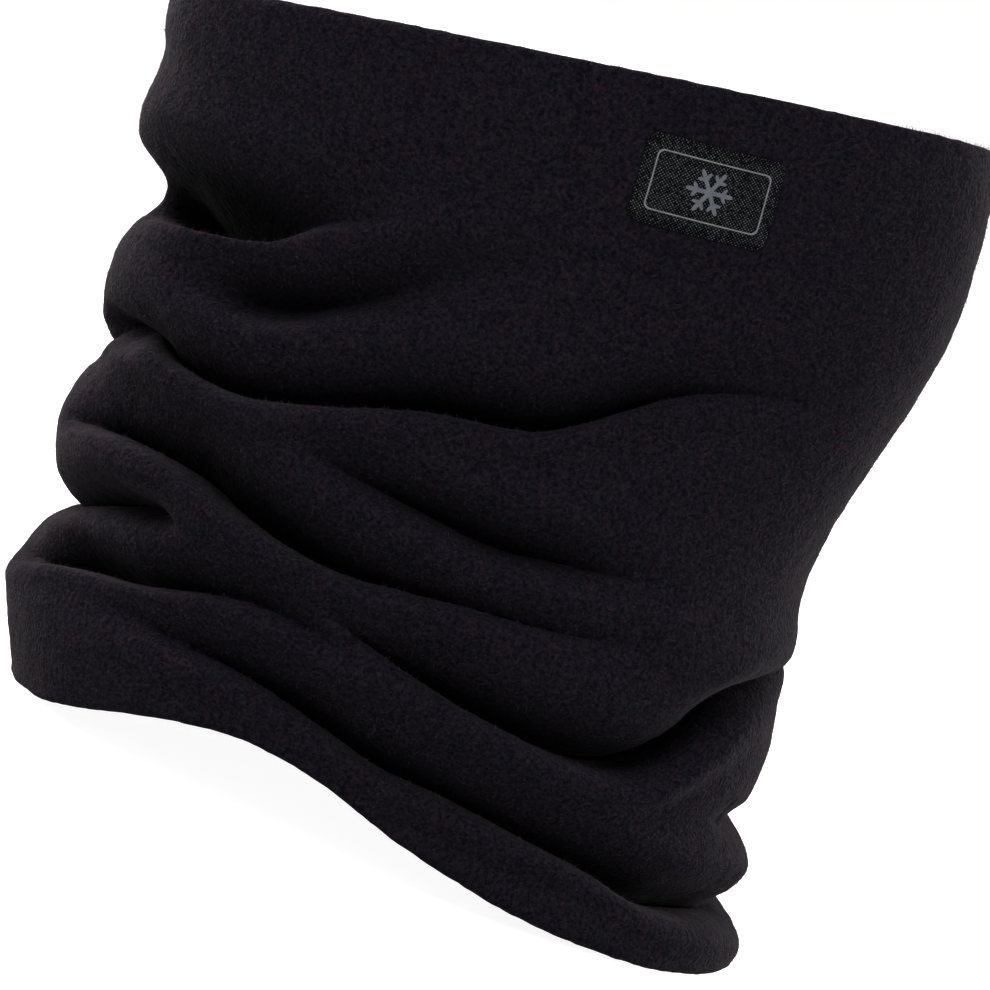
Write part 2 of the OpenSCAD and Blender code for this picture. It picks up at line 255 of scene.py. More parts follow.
left_edge = blurred_table(LEFT_EDGE, EDGE_BLUR)
right_edge = blurred_table(RIGHT_EDGE, EDGE_BLUR)


def half_width(z):
    return (right_edge(z) - left_edge(z)) / 2


def mid_x(z):
    return (right_edge(z) + left_edge(z)) / 2


def half_depth(z):
    return DEPTH_LOW + (DEPTH_HIGH - DEPTH_LOW) * ease((z - NARROW_START) / NARROW_HEIGHT)


def bottom_z(dirs):
    heights = np.interp(dirs, [p[0] for p in BOTTOM_EDGE], [p[1] for p in BOTTOM_EDGE])
    return blur_ring(heights, CREASE_BLUR)


def top_z(dirs):
    angle = np.radians(dirs)
    return TOP_HEIGHT + TOP_CLIMB * np.sin(angle) + TOP_FRONT_CLIMB * np.cos(angle)


def crease_along(crease, lean, dirs):
    """Height, depth and lean of a crease at each direction, with its corners rounded."""
    first, last = crease[0][0], crease[-1][0]
    at, heights, depths = (np.array(column, float) for column in zip(*crease))
    leans = np.interp(at, [first, last], lean)
    z, depth = np.full(len(dirs), heights[0]), np.zeros(len(dirs))
    tilt = np.full(len(dirs), lean[0])
    for turn in (-TURN, 0, TURN):
        d = dirs + turn
        past = (d > last) & (d < last + CREASE_TAIL)
        inside = (d >= first) & (d <= last)
        z = np.where(past, heights[-1], np.where(inside, np.interp(d, at, heights), z))
        tilt = np.where(past, lean[1], np.where(inside, np.interp(d, at, leans), tilt))
        depth = np.where(inside, np.interp(d, at, depths), depth)
    depth = np.maximum(blur_ring(depth, DEPTH_BLUR), 0)
    return blur_ring(z, CREASE_BLUR), depth, blur_ring(tilt, CREASE_BLUR)


def press_folds(dirs, z, soft):
    """How far the folds push the wall in, and how far they let it sag, at heights z. Where soft
    isn't 0, the folds reach that much further down and none is sharp."""
    inward, sag = np.zeros_like(z), np.zeros_like(z)
    for above, below, sharp, lean, crease in FOLDS.values():
        crease_z, depth, tilt = crease_along(crease, lean, dirs)
        over = z - crease_z - MOUTH * tilt * depth
        share = np.clip(np.where(over >= 0, over / above, -over / (below + soft)), 0, 1)
        rounded = 0.5 + 0.5 * np.cos(math.pi * share)
        cut = 1 - np.sqrt(np.maximum(1 - (1 - share) ** 2, 0))
        keen = 0 if soft else CUT * sharp
        pressed = depth * (keen * cut + (1 - keen) * rounded)
        down = np.clip(-over / (SWELL_REACH * below), 0, 1)
        swell = depth * CREST * sharp * np.sin(math.pi * down) ** 2
        inward += pressed - (0 if soft else swell)
        sag += tilt * pressed
    return inward, sag


def spread_rows(dense, count):
    """Resamples each column of a dense grid at equal steps along its own length."""
    steps = np.linalg.norm(np.diff(dense[..., :3], axis=0), axis=-1)
    length = np.vstack([np.zeros(dense.shape[1]), np.cumsum(steps, 0)])
    rows = np.empty((count, *dense.shape[1:]))
    for column in range(dense.shape[1]):
        at = np.linspace(0, length[-1, column], count)
        for axis in range(dense.shape[2]):
            rows[:, column, axis] = np.interp(at, length[:, column], dense[:, column, axis])
    return rows


def wall(dirs, count, soft=0):
    """Outer surface of the tube in rows from bottom to top, its inward directions and how far
    the folds press each point in, in mm."""
    low, high = bottom_z(dirs) + ROLL, top_z(dirs) - ROLL
    z = low + np.linspace(0, 1, PROFILE_ROWS)[:, None] * (high - low)
    inward, sag = press_folds(dirs, z, soft)
    ends = ease((z - low) / (2 * ROLL)) * ease((high - z) / (2 * ROLL))
    angle = np.radians(dirs)[None, :]
    a, b = half_width(z), half_depth(z)
    out = unit(np.stack([b * np.sin(angle), -a * np.cos(angle), np.zeros_like(z)], -1))
    oval = np.stack([mid_x(z) + a * np.sin(angle), -b * np.cos(angle), z - sag * ends], -1)
    point = oval - inward[..., None] * out
    rows = spread_rows(np.concatenate([point, -out, inward[..., None]], -1), count)
    return rows[..., :3], rows[..., 3:6], rows[..., 6]


# ---------------------------------------------------------------- mesh helpers


NOISE_CELLS = 32           # cells along each side of the noise lattice, before it repeats
SKEWED_UP = UP + np.array([0.31, 0.17, 0])    # a direction that no thread runs along


def noise(points, size, seed):
    """Smooth noise from -1 to 1 with lumps of about the given size, the same each run."""
    lattice = np.random.RandomState(seed).uniform(-1, 1, [NOISE_CELLS] * 3)
    q = points / size
    i = np.floor(q).astype(int)
    f = ease(q - i)
    total = np.zeros(q.shape[:-1])
    for corner in np.ndindex(2, 2, 2):
        c = np.array(corner)
        weight = np.prod(np.where(c, f, 1 - f), axis=-1)
        j = (i + c) % NOISE_CELLS
        total += weight * lattice[j[..., 0], j[..., 1], j[..., 2]]
    return total


def layered_noise(points, layers):
    """Sum of noises, each as (height, size of its lumps, seed)."""
    return sum(height * noise(points, size, seed) for height, size, seed in layers)


def grid_normals(p, wrap_rows):
    """Unit normals of a grid of points whose columns go right round, seen from outside."""
    across = np.roll(p, -1, 1) - np.roll(p, 1, 1)
    if wrap_rows:
        along = np.roll(p, -1, 0) - np.roll(p, 1, 0)
    else:
        along = np.gradient(p, axis=0)
    n = np.cross(across, along)
    return n / np.maximum(np.linalg.norm(n, axis=-1, keepdims=True), 1e-9)


def grid_faces(rows, columns, wrap_rows, wrap_columns=True):
    index = np.arange(rows * columns).reshape(rows, columns)
    if wrap_rows:
        index = np.vstack([index, index[:1]])
    if wrap_columns:
        index = np.hstack([index, index[:, :1]])
    a, b = index[:-1, :-1], index[:-1, 1:]
    c, d = index[1:, 1:], index[1:, :-1]
    return np.stack([a, b, c, d], -1).reshape(-1, 4)


def over_grid(grid, normals, rows, columns, lift):
    """Points over a grid that goes round, at fractional rows and columns, raised along normals."""
    rows, columns, lift = np.broadcast_arrays(rows, columns, lift)
    count = grid.shape[1]
    i = np.clip(np.floor(rows).astype(int), 0, len(grid) - 2)
    j = np.floor(columns).astype(int)
    f, g = (rows - i)[..., None], (columns - j)[..., None]

    def blend(values):
        left = values[i, j % count] * (1 - f) + values[i + 1, j % count] * f
        right = values[i, (j + 1) % count] * (1 - f) + values[i + 1, (j + 1) % count] * f
        return left * (1 - g) + right * g

    return blend(grid) + blend(normals) * lift[..., None]


def closed_slab(front, back):
    """Points and faces of a thin closed sheet between two grids of the same size."""
    rows, columns = front.shape[:2]
    face = grid_faces(rows, columns, False, False)
    index = np.arange(rows * columns).reshape(rows, columns)
    rim = np.concatenate([index[0, :-1], index[:-1, -1], index[-1, :0:-1], index[:0:-1, 0]])
    after, shift = np.roll(rim, -1), rows * columns
    sides = np.stack([after, rim, rim + shift, after + shift], -1)
    points = np.concatenate([front.reshape(-1, 3), back.reshape(-1, 3)])
    return points, np.concatenate([face, face[:, ::-1] + shift, sides])


def tube(path, radius, sides=6):
    """Points and faces of a thread with closed ends along a path."""
    path = np.asarray(path, float)
    step = unit(np.gradient(path, axis=0))
    across = unit(np.cross(step, SKEWED_UP))
    other = np.cross(step, across)
    turn = np.arange(sides) * 2 * math.pi / sides
    ring = np.cos(turn)[:, None] * across[:, None] + np.sin(turn)[:, None] * other[:, None]
    points = (path[:, None] + radius * ring).reshape(-1, 3)
    faces = grid_faces(len(path), sides, False).tolist()
    last = (len(path) - 1) * sides
    return points, [list(range(sides)), *faces, [last + k for k in range(sides - 1, -1, -1)]]


def join_parts(parts):
    """One list of points and one of faces from several (points, faces)."""
    points, faces, start = [], [], 0
    for part_points, part_faces in parts:
        points.append(part_points)
        faces += [[int(k) + start for k in face] for face in part_faces]
        start += len(part_points)
    return np.concatenate(points), faces


def add_mesh(name, points, faces, material, body="gaiter", smooth=True, **attributes):
    """A mesh piece from points in millimetres, riding on a CAD body, with values at its points."""
    mesh = bpy.data.meshes.new(name)
    mesh.from_pydata((np.asarray(points, float).reshape(-1, 3) * MM).tolist(), [],
                     [list(map(int, f)) for f in faces])
    mesh.update()
    if smooth:
        mesh.polygons.foreach_set("use_smooth", [True] * len(mesh.polygons))
    for label, values in attributes.items():
        values = np.asarray(values, np.float32)
        flat, kind, key = values.ravel(), "FLOAT", "value"
        if values.shape[-1] == 3 and values.ndim > 1:
            kind, key = "FLOAT_VECTOR", "vector"
        mesh.attributes.new(label, kind, "POINT").data.foreach_set(key, flat)
    mesh.materials.append(material)
    piece = bpy.data.objects.new(name, mesh)
    bpy.context.collection.objects.link(piece)
    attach(piece, body)
    return piece


# ---------------------------------------------------------------- materials


def new_material(name):
    material = bpy.data.materials.new(name)
    material.use_nodes = True
    return material, material.node_tree, material.node_tree.nodes["Principled BSDF"]


def noise_node(tree, coordinates, scale, detail, distortion=0):
    node = tree.nodes.new("ShaderNodeTexNoise")
    node.inputs["Scale"].default_value = scale
    node.inputs["Detail"].default_value = detail
    node.inputs["Distortion"].default_value = distortion
    tree.links.new(coordinates, node.inputs["Vector"])
    return node


def ramp_node(tree, value, stops):
    """Colour ramp through (position, colour) stops."""
    ramp = tree.nodes.new("ShaderNodeValToRGB")
    elements = ramp.color_ramp.elements
    while len(elements) < len(stops):
        elements.new(0.5)
    for element, (position, colour) in zip(elements, stops):
        element.position, element.color = position, (*colour, 1)
    tree.links.new(value, ramp.inputs["Fac"])
    return ramp


def bump_node(tree, height, strength, distance, before=None):
    bump = tree.nodes.new("ShaderNodeBump")
    bump.inputs["Strength"].default_value = strength
    bump.inputs["Distance"].default_value = distance
    tree.links.new(height, bump.inputs["Height"])
    if before:
        tree.links.new(before.outputs["Normal"], bump.inputs["Normal"])
    return bump


def multiply_node(tree, first, second):
    mix = tree.nodes.new("ShaderNodeMix")
    mix.data_type, mix.blend_type = "RGBA", "MULTIPLY"
    mix.inputs["Factor"].default_value = 1
    tree.links.new(first, mix.inputs["A"])
    tree.links.new(second, mix.inputs["B"])
    return mix.outputs["Result"]


def math_node(tree, operation, first, second):
    node = tree.nodes.new("ShaderNodeMath")
    node.operation = operation
    for socket, value in zip(node.inputs, (first, second)):
        if isinstance(value, (int, float)):
            socket.default_value = value
        elif value is not None:
            tree.links.new(value, socket)
    return node.outputs["Value"]


def attribute_node(tree, name):
    node = tree.nodes.new("ShaderNodeAttribute")
    node.attribute_name = name
    return node


def object_place(tree):
    return tree.nodes.new("ShaderNodeTexCoord").outputs["Object"]


def grey(value):
    return (value, value, value)


FLEECE_WARM, FLEECE_COOL = (0.0108, 0.0082, 0.0117), (0.0083, 0.0081, 0.0112)


def fleece_material(name):
    """Black pile fleece: clumps about a millimetre across in slightly purple and bluish blacks,
    with painted shade darkening its colour deep in the folds."""
    material, tree, shader = new_material(name)
    place = object_place(tree)
    clumps = noise_node(tree, place, 950, 2)
    tufts = noise_node(tree, place, 1900, 2, 1.6)
    patches = noise_node(tree, place, 260, 4)
    hue = ramp_node(tree, patches.outputs["Fac"], [(0.38, FLEECE_COOL), (0.62, FLEECE_WARM)])
    shade = ramp_node(tree, clumps.outputs["Fac"],
                      [(0.3, (0.44, 0.44, 0.54)), (0.7, (1.56, 1.54, 1.46))])
    tips = ramp_node(tree, tufts.outputs["Fac"],
                     [(0.35, (0.65, 0.65, 0.72)), (0.6, grey(1.08)), (0.75, grey(1.5))])
    # painted shade: the pile's colour is darkened down to 0.12 by how deep it lies in a fold
    fold = ramp_node(tree, attribute_node(tree, "fold").outputs["Fac"],
                     [(0, grey(1)), (1, grey(0.12))])
    colour = multiply_node(tree, hue.outputs["Color"], shade.outputs["Color"])
    colour = multiply_node(tree, colour, tips.outputs["Color"])
    colour = multiply_node(tree, colour, fold.outputs["Color"])
    tree.links.new(colour, shader.inputs["Base Color"])
    coarse = bump_node(tree, clumps.outputs["Fac"], 0.7, 0.0008)
    fine = bump_node(tree, tufts.outputs["Fac"], 0.35, 0.0004, coarse)
    tree.links.new(fine.outputs["Normal"], shader.inputs["Normal"])
    shader.inputs["Roughness"].default_value = 1
    shader.inputs["Specular IOR Level"].default_value = 0.04
    shader.inputs["Sheen Weight"].default_value = 0.022
    shader.inputs["Sheen Roughness"].default_value = 0.3
    shader.inputs["Sheen Tint"].default_value = (1, 0.9, 0.96, 1)
    return material


def nap_material():
    """Loose fibre ends that stand off the pile. They are too fine to show a pattern."""
    material, _, shader = new_material("nap_fibre")
    shader.inputs["Base Color"].default_value = (0.05, 0.045, 0.05, 1)
    shader.inputs["Roughness"].default_value = 1
    shader.inputs["Specular IOR Level"].default_value = 0.1
    return material


def thread_material(name, light, dark):
    """Twisted sewing thread: fine slanting strands."""
    material, tree, shader = new_material(name)
    place = object_place(tree)
    strands = tree.nodes.new("ShaderNodeTexWave")
    strands.bands_direction = "DIAGONAL"
    strands.inputs["Scale"].default_value = 1400
    strands.inputs["Distortion"].default_value = 1.5
    tree.links.new(place, strands.inputs["Vector"])
    ramp = ramp_node(tree, strands.outputs["Fac"], [(0.2, dark), (0.8, light)])
    tree.links.new(ramp.outputs["Color"], shader.inputs["Base Color"])
    bump = bump_node(tree, strands.outputs["Fac"], 0.5, 0.0001)
    tree.links.new(bump.outputs["Normal"], shader.inputs["Normal"])
    shader.inputs["Roughness"].default_value = 0.85
    shader.inputs["Specular IOR Level"].default_value = 0.04
    return material


def cloth_place(tree):
    """Places on a woven piece: millimetres across and along it, and how far out in its margin."""
    parts = tree.nodes.new("ShaderNodeSeparateXYZ")
    tree.links.new(attribute_node(tree, "cloth").outputs["Vector"], parts.inputs["Vector"])
    return parts.outputs


def wave_node(tree, distance, pitch):
    turns = math_node(tree, "MULTIPLY", distance, 2 * math.pi / pitch)
    return math_node(tree, "SINE", turns, None)


def knuckles(tree, place):
    """Height of the patch's plain weave, from -1 to 1."""
    waves = [wave_node(tree, place[axis], PATCH_PITCH) for axis in "XY"]
    return math_node(tree, "MULTIPLY", *waves)


def patch_material():
    """Black woven patch: a plain weave with painted highlights on its raised yarns and painted shade
    between them, duller at its margin.
    """
    material, tree, shader = new_material("woven_patch")
    place = cloth_place(tree)
    weave = knuckles(tree, place)
    specks = noise_node(tree, object_place(tree), 1400, 3)
    # painted highlight on the raised yarns of the weave and painted shade in the gaps between them
    painted_weave_light = ramp_node(tree, weave, [(0.25, grey(0.005)), (0.85, (0.07, 0.073, 0.085))])
    dulling = math_node(tree, "MULTIPLY", place["Z"], 0.07)
    worn = math_node(tree, "SUBTRACT", specks.outputs["Fac"], dulling)
    vary = ramp_node(tree, worn, [(0.36, grey(0.2)), (0.6, grey(1.5))])
    colour = multiply_node(tree, painted_weave_light.outputs["Color"], vary.outputs["Color"])
    tree.links.new(colour, shader.inputs["Base Color"])
    bump = bump_node(tree, weave, 0.6, 0.00012)
    tree.links.new(bump.outputs["Normal"], shader.inputs["Normal"])
    shader.inputs["Roughness"].default_value = 0.9
    shader.inputs["Specular IOR Level"].default_value = 0.04
    return material


def print_material(name, light, dark):
    """Matt screen print whose ink sinks a little into the weave under it, with painted shade in the
    weave's hollows.
    """
    material, tree, shader = new_material(name)
    weave = knuckles(tree, cloth_place(tree))
    cloud = noise_node(tree, object_place(tree), 500, 3)
    tone = ramp_node(tree, cloud.outputs["Fac"], [(0.3, dark), (0.7, light)])
    # painted shade in the hollows of the weave under the print
    painted_pit_shade = ramp_node(tree, weave, [(0.0, grey(0.8)), (0.6, grey(1))])
    colour = multiply_node(tree, tone.outputs["Color"], painted_pit_shade.outputs["Color"])
    tree.links.new(colour, shader.inputs["Base Color"])
    bump = bump_node(tree, weave, 0.4, 0.0001)
    tree.links.new(bump.outputs["Normal"], shader.inputs["Normal"])
    shader.inputs["Roughness"].default_value = 0.7
    shader.inputs["Specular IOR Level"].default_value = 0.15
    return material


def film_material():
    """Heat-set adhesive film: matt black and slightly cloudy."""
    material, tree, shader = new_material("adhesive_film")
    cloud = noise_node(tree, object_place(tree), 700, 2)
    tone = ramp_node(tree, cloud.outputs["Fac"], [(0.3, grey(0.012)), (0.7, grey(0.03))])
    tree.links.new(tone.outputs["Color"], shader.inputs["Base Color"])
    bump = bump_node(tree, cloud.outputs["Fac"], 0.3, 0.0001)
    tree.links.new(bump.outputs["Normal"], shader.inputs["Normal"])
    shader.inputs["Roughness"].default_value = 0.5
    return material


def satin_material():
    """Pale satin ribbon: fine ribs across it, with a soft lustre."""
    material, tree, shader = new_material("label_satin")
    ribs = wave_node(tree, cloth_place(tree)["Y"], RIB_PITCH)
    cloud = noise_node(tree, object_place(tree), 350, 3)
    tone = ramp_node(tree, cloud.outputs["Fac"],
                     [(0.3, (0.33, 0.33, 0.325)), (0.7, (0.42, 0.42, 0.415))])
    shade = ramp_node(tree, ribs, [(0.0, grey(0.82)), (0.7, grey(1))])
    colour = multiply_node(tree, tone.outputs["Color"], shade.outputs["Color"])
    tree.links.new(colour, shader.inputs["Base Color"])
    bump = bump_node(tree, ribs, 0.5, 0.00008)
    tree.links.new(bump.outputs["Normal"], shader.inputs["Normal"])
    shader.inputs["Roughness"].default_value = 0.38
    shader.inputs["Sheen Weight"].default_value = 0.2
    return material


# ---------------------------------------------------------------- the two fleece layers

COLUMNS, ROWS = 340, 220
LINING_COLUMNS, LINING_ROWS = 300, 120
HIDDEN_ROWS = 56
ROLL_STEPS = 9
MEET_ANGLE = 115           # how far the outer layer turns over the edge before it meets the lining
OUTER_LUMPS = [(0.5, 34, 3), (0.25, 15, 4)]    # unevenness as (height, size of its lumps, seed)
OUTER_PILE = [(0.16, 3.2, 11), (0.12, 1.7, 12)]
LINING_PILE = [(0.16, 3.2, 21)]
PATCH_PILE = 0.3           # share of the pile's unevenness that is left under and round the patch
FIBRES = 49000             # before those in folds and round the patch are left out
FIBRE_SHORTEST, FIBRE_LONGEST, FIBRE_WIDTH, FIBRE_ROOT = 0.6, 1.9, 0.09, -0.15
SLANT_LEAST, SLANT_MOST = 0.3, 1.6     # how far a fibre leans over for each length it stands off


def directions(count):
    return np.arange(count) * TURN / count - TURN / 2


def roll(edge, inward, start, end, side):
    """Rows of a turned edge: an arc over the rim from one angle to another."""
    rows = []
    for angle in np.radians(np.linspace(start, end, ROLL_STEPS)):
        step = inward * ROLL * (1 - math.cos(angle))
        rows.append(edge + step + UP * side * ROLL * math.sin(angle))
    return np.array(rows)


def outside_patch(dirs, z):
    """0 under the patch, rising to 1 a little way outside it."""
    across = np.abs((dirs - PATCH_DIR) * ARC_PER_DEGREE) / (PATCH_W / 2 + CLEAR_ACROSS)
    up = np.abs(z - PATCH_Z) / (PATCH_H / 2 + CLEAR_UP)
    return ease((np.maximum(across, up) - 1) / CLEAR_FADE)


def outer_layer(material):
    dirs = directions(COLUMNS)
    skin, inward, depth = wall(dirs, ROWS)
    lumps = layered_noise(skin, OUTER_LUMPS) * outside_patch(dirs, skin[..., 2])
    groove = SEAM_GROOVE * np.exp(-((np.abs(dirs) - TURN / 2) * ARC_PER_DEGREE / SEAM_HALF) ** 2)
    skin = skin + (lumps - groove)[..., None] * grid_normals(skin, False)
    hidden, hidden_in, _ = wall(dirs, HIDDEN_ROWS, SOFT)
    hidden = (hidden + hidden_in * SHELL)[::-1]
    top = roll(skin[-1], inward[-1], 0, MEET_ANGLE, 1)[1:]
    bottom = roll(skin[0], inward[0], MEET_ANGLE, 0, -1)[:-1]
    points = np.concatenate([skin, top, hidden, bottom])
    seen = ROWS + len(top)
    pile = layered_noise(points, OUTER_PILE)
    pile[seen:seen + HIDDEN_ROWS] = 0
    pile[:ROWS] *= PATCH_PILE + (1 - PATCH_PILE) * outside_patch(dirs, skin[..., 2])
    points = points + pile[..., None] * grid_normals(points, True)
    fold = np.zeros(points.shape[:2])
    # painted shade for the fleece colour, from how deep each point of the outer face lies in a fold
    fold[:ROWS] = ease((depth - PAINTED_SHADE_START) / PAINTED_SHADE_SPAN)
    piece = add_mesh("outer_fleece", points, grid_faces(len(points), COLUMNS, True), material,
                     fold=fold)
    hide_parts("outer_shell")
    return skin, points[:seen], fold


def lining_layer(material):
    dirs = directions(LINING_COLUMNS)
    skin, inward, _ = wall(dirs, LINING_ROWS, SOFT)
    face = skin + inward * LINING_IN
    hidden, hidden_in, _ = wall(dirs, HIDDEN_ROWS, SOFT)
    hidden = (hidden + hidden_in * LINING_OUT)[::-1]
    top = roll(skin[-1], inward[-1], 180, MEET_ANGLE, 1)[1:]
    bottom = roll(skin[0], inward[0], MEET_ANGLE, 180, -1)[:-1]
    points = np.concatenate([face, top, hidden, bottom])[::-1]
    pile = layered_noise(points, LINING_PILE)
    points = points + pile[..., None] * grid_normals(points, True)
    piece = add_mesh("lining_fleece", points, grid_faces(len(points), LINING_COLUMNS, True), material,
                     fold=np.zeros(points.shape[:2]))
    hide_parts("inner_lining")
    return face


def outer_nap(surface, fold, material):
    """Short pointed fibres over the outer face, which make its outline fuzzy. There are none in the
    folds and round the patch."""
    draw = np.random.RandomState(17)
    rows = draw.uniform(0, len(surface) - 1, FIBRES)
    columns = draw.uniform(0, COLUMNS, FIBRES)
    normals = grid_normals(surface, False)
    foot = over_grid(surface, normals, rows, columns, FIBRE_ROOT)
    normal = over_grid(normals, normals, rows, columns, 0)
    dirs = columns * TURN / COLUMNS - TURN / 2
    shaded = fold[rows.astype(int), columns.astype(int)]
    clear = (outside_patch(dirs, foot[:, 2]) > 0.5) & (shaded < 0.4)
    foot, normal = foot[clear], normal[clear]
    lean = draw.normal(0, 1, foot.shape)
    lean = unit(lean - np.sum(lean * normal, -1, keepdims=True) * normal)
    slant = draw.uniform(SLANT_LEAST, SLANT_MOST, (len(foot), 1))
    along = unit(normal + lean * slant)
    side = unit(np.cross(along, lean) + 0.01 * UP)
    third = np.cross(along, side)
    length = draw.uniform(FIBRE_SHORTEST, FIBRE_LONGEST, (len(foot), 1))
    corners = [foot + FIBRE_WIDTH / 2 * (side * math.cos(t) + third * math.sin(t))
               for t in np.radians([0, 120, 240])]
    points = np.stack([*corners, foot + along * length], 1).reshape(-1, 3)
    start = np.arange(len(foot))[:, None] * 4
    faces = np.concatenate([start + np.array(f) for f in ([2, 1, 0], [0, 1, 3], [1, 2, 3], [2, 0, 3])])
    piece = add_mesh("outer_nap", points, faces, material, smooth=False)


# ---------------------------------------------------------------- back seams

SEAM_HALF, SEAM_GROOVE = 2.5, 0.6      # half the width of the back seam, and how deep it sinks
SEAM_START, STITCH = 5, 1.9            # bare wall at each end of the seam, and its stitch length
THREAD_R = 0.22
COVER_LIFT, COVER_DIP = 0.45, 0.45     # height of a crossing thread, and how far its ends dip
ROW_LIFT, ROW_DIP, ROW_STITCH = 0.36, 0.4, 1.7    # the same for a row, and its length in stitches


def dipped(share, lift, dip):
    """Height of a thread over the cloth along its length: its ends go down into the cloth."""
    return lift - dip * (2 * np.abs(share - 0.5)) ** 4


def flatlock(name, grid, side, material, node):
    """A flatlock seam up the middle of the back: a cover thread that zigzags between two rows."""
    normals = grid_normals(grid, False) * side
    middle = grid[:, 0]
    length = np.concatenate([[0], np.cumsum(np.linalg.norm(np.diff(middle, axis=0), axis=-1))])
    half = SEAM_HALF / np.linalg.norm(grid[len(grid) // 2, 1] - grid[len(grid) // 2, 0])
    stops = np.arange(SEAM_START, length[-1] - SEAM_START, STITCH)
    row_at = np.interp(stops, length, np.arange(len(grid)))

    def crossing(start, end, direction):
        share = np.linspace(0, 1, 6)
        rows = start + (end - start) * share
        columns = direction * half * (1 - 2 * share)
        return over_grid(grid, normals, rows, columns, dipped(share, COVER_LIFT, COVER_DIP))

    parts = []
    for k, (start, end) in enumerate(zip(row_at[:-1], row_at[1:])):
        parts.append(tube(crossing(start, end, 1 if k % 2 else -1), THREAD_R))
    along = np.linspace(0, 1, 5)
    row_lift = dipped(along, ROW_LIFT, ROW_DIP)
    for edge in (-half, half):
        for start, end in zip(row_at[:-1:2], row_at[1::2]):
            rows = start + (end - start) * ROW_STITCH * along
            parts.append(tube(over_grid(grid, normals, rows, edge, row_lift), THREAD_R))
    piece = add_mesh(name, *join_parts(parts), material)
    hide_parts(node)


# ---------------------------------------------------------------- woven patch

PATCH_DIR, PATCH_Z, PATCH_TURN = 20, 189, 7    # middle of the patch, and its turn on the wall
PATCH_SKEW = 0.08                      # how far the patch is pulled out of square
ARC_PER_DEGREE = 1.82                  # length of the wall per degree, there and about at the back
PATCH_W, PATCH_H, PATCH_CORNER = 36, 22.5, 3
PATCH_ROWS, PATCH_COLUMNS = 41, 65
PATCH_PITCH = 0.9                      # two yarns of the weave
EDGE_SHARE, EDGE_WIDTH = 0.15, 1.5     # a sheet's height at its edge, as a share, and where it is full
CLEAR_ACROSS, CLEAR_UP, CLEAR_FADE = 1, 3, 0.3    # smooth fleece beside and above the patch
FRAME_W, FRAME_H, FRAME_CORNER, FRAME_LINE = 29.6, 15.3, 1.6, 0.4
MARGIN_START, MARGIN_WIDTH = 0.4, 2.4  # where the margin starts outside the frame, and its width
CORNER_STEPS, RING_PITCH = 9, 1
FILM_TOP, BASE_TOP, PRINT_TOP = 0.3, 0.75, 0.95   # heights over the fleece
FILM_INSET = 0.5                       # how far the film stays inside the patch's edge
PRINT_SINK = 0.03                      # how far the print reaches down into the patch
FLAKE_R, FLAKE_LINE = 6, 1.1
BAR_STEP, BAR_TAPER = 0.8, 0.55        # length of a bar's steps, and the share left at its tip
TWIG_AT, TWIG_LENGTH, TWIG_WIDTH = 0.54, 0.34, 0.85    # shares of an arm's length and width
ARM_RISE, TWIG_DROP = 0.004, 0.002     # keep the tops of bars that cross apart


def patch_place(u, v):
    """Direction and height on the wall of a place on the patch, in millimetres from its middle."""
    turn = math.radians(PATCH_TURN)
    u = u + PATCH_SKEW * v
    across, up = u * math.cos(turn) - v * math.sin(turn), u * math.sin(turn) + v * math.cos(turn)
    return PATCH_DIR + across / ARC_PER_DEGREE, PATCH_Z + up


def on_patch(skin, u, v, lift):
    """Points over the wall at places on the patch, in millimetres from its middle."""
    dirs, z = patch_place(u, v)
    columns = (dirs + TURN / 2) * COLUMNS / TURN
    left = np.floor(columns).astype(int)

    def row_on(column):
        found = [np.interp(height, skin[:, k, 2], np.arange(ROWS))
                 for height, k in zip(z.ravel(), column.ravel())]
        return np.reshape(found, z.shape)

    share = columns - left
    rows = row_on(left) * (1 - share) + row_on(left + 1) * share
    return over_grid(skin, grid_normals(skin, False), rows, columns, lift)


def round_grid(w, h, r, rows, columns):
    """Places over a rectangle with four equal rounded corners."""
    v = (h / 2) * np.sin(np.linspace(-math.pi / 2, math.pi / 2, rows))[:, None]
    cut = r - np.sqrt(np.maximum(r * r - np.maximum(np.abs(v) - (h / 2 - r), 0) ** 2, 0))
    u = (w / 2 - cut) * np.linspace(-1, 1, columns)
    return u, v + 0 * u


def round_ring(w, h, r):
    """The same outline as a closed path of places, anticlockwise."""
    arc = np.radians(np.linspace(0, 90, CORNER_STEPS))
    top_right = [(w / 2 - r + r * math.cos(t), h / 2 - r + r * math.sin(t)) for t in arc]
    top_left = [(-w / 2 + r - r * math.sin(t), h / 2 - r + r * math.cos(t)) for t in arc]
    half = np.array(top_right + top_left)
    return np.concatenate([half, -half])


def spread_ring(ring, pitch):
    """Adds places along a closed path, so that none is further than pitch from the next."""
    found = []
    for start, end in zip(ring, np.roll(ring, -1, 0)):
        count = max(1, math.ceil(np.linalg.norm(end - start) / pitch))
        found += [start + (end - start) * k / count for k in range(count)]
    return np.array(found)


def patch_sheet(name, skin, size, low, high, material, node):
    """A closed sheet that follows the wall and is thinner at its edge."""
    w, h, r = size
    u, v = round_grid(w, h, r, PATCH_ROWS, PATCH_COLUMNS)
    edge = np.minimum(w / 2 - np.abs(u), h / 2 - np.abs(v))
    rise = low + (high - low) * (EDGE_SHARE + (1 - EDGE_SHARE) * ease(edge / EDGE_WIDTH))
    outside = np.maximum(np.abs(u) - FRAME_W / 2, np.abs(v) - FRAME_H / 2) - MARGIN_START
    cloth = np.stack([u, v, ease(outside / MARGIN_WIDTH)], -1).reshape(-1, 3)
    points, faces = closed_slab(on_patch(skin, u, v, rise), on_patch(skin, u, v, low + 0 * u))
    piece = add_mesh(name, points, faces, material, cloth=np.concatenate([cloth, cloth]))
    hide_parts(node)
    return piece


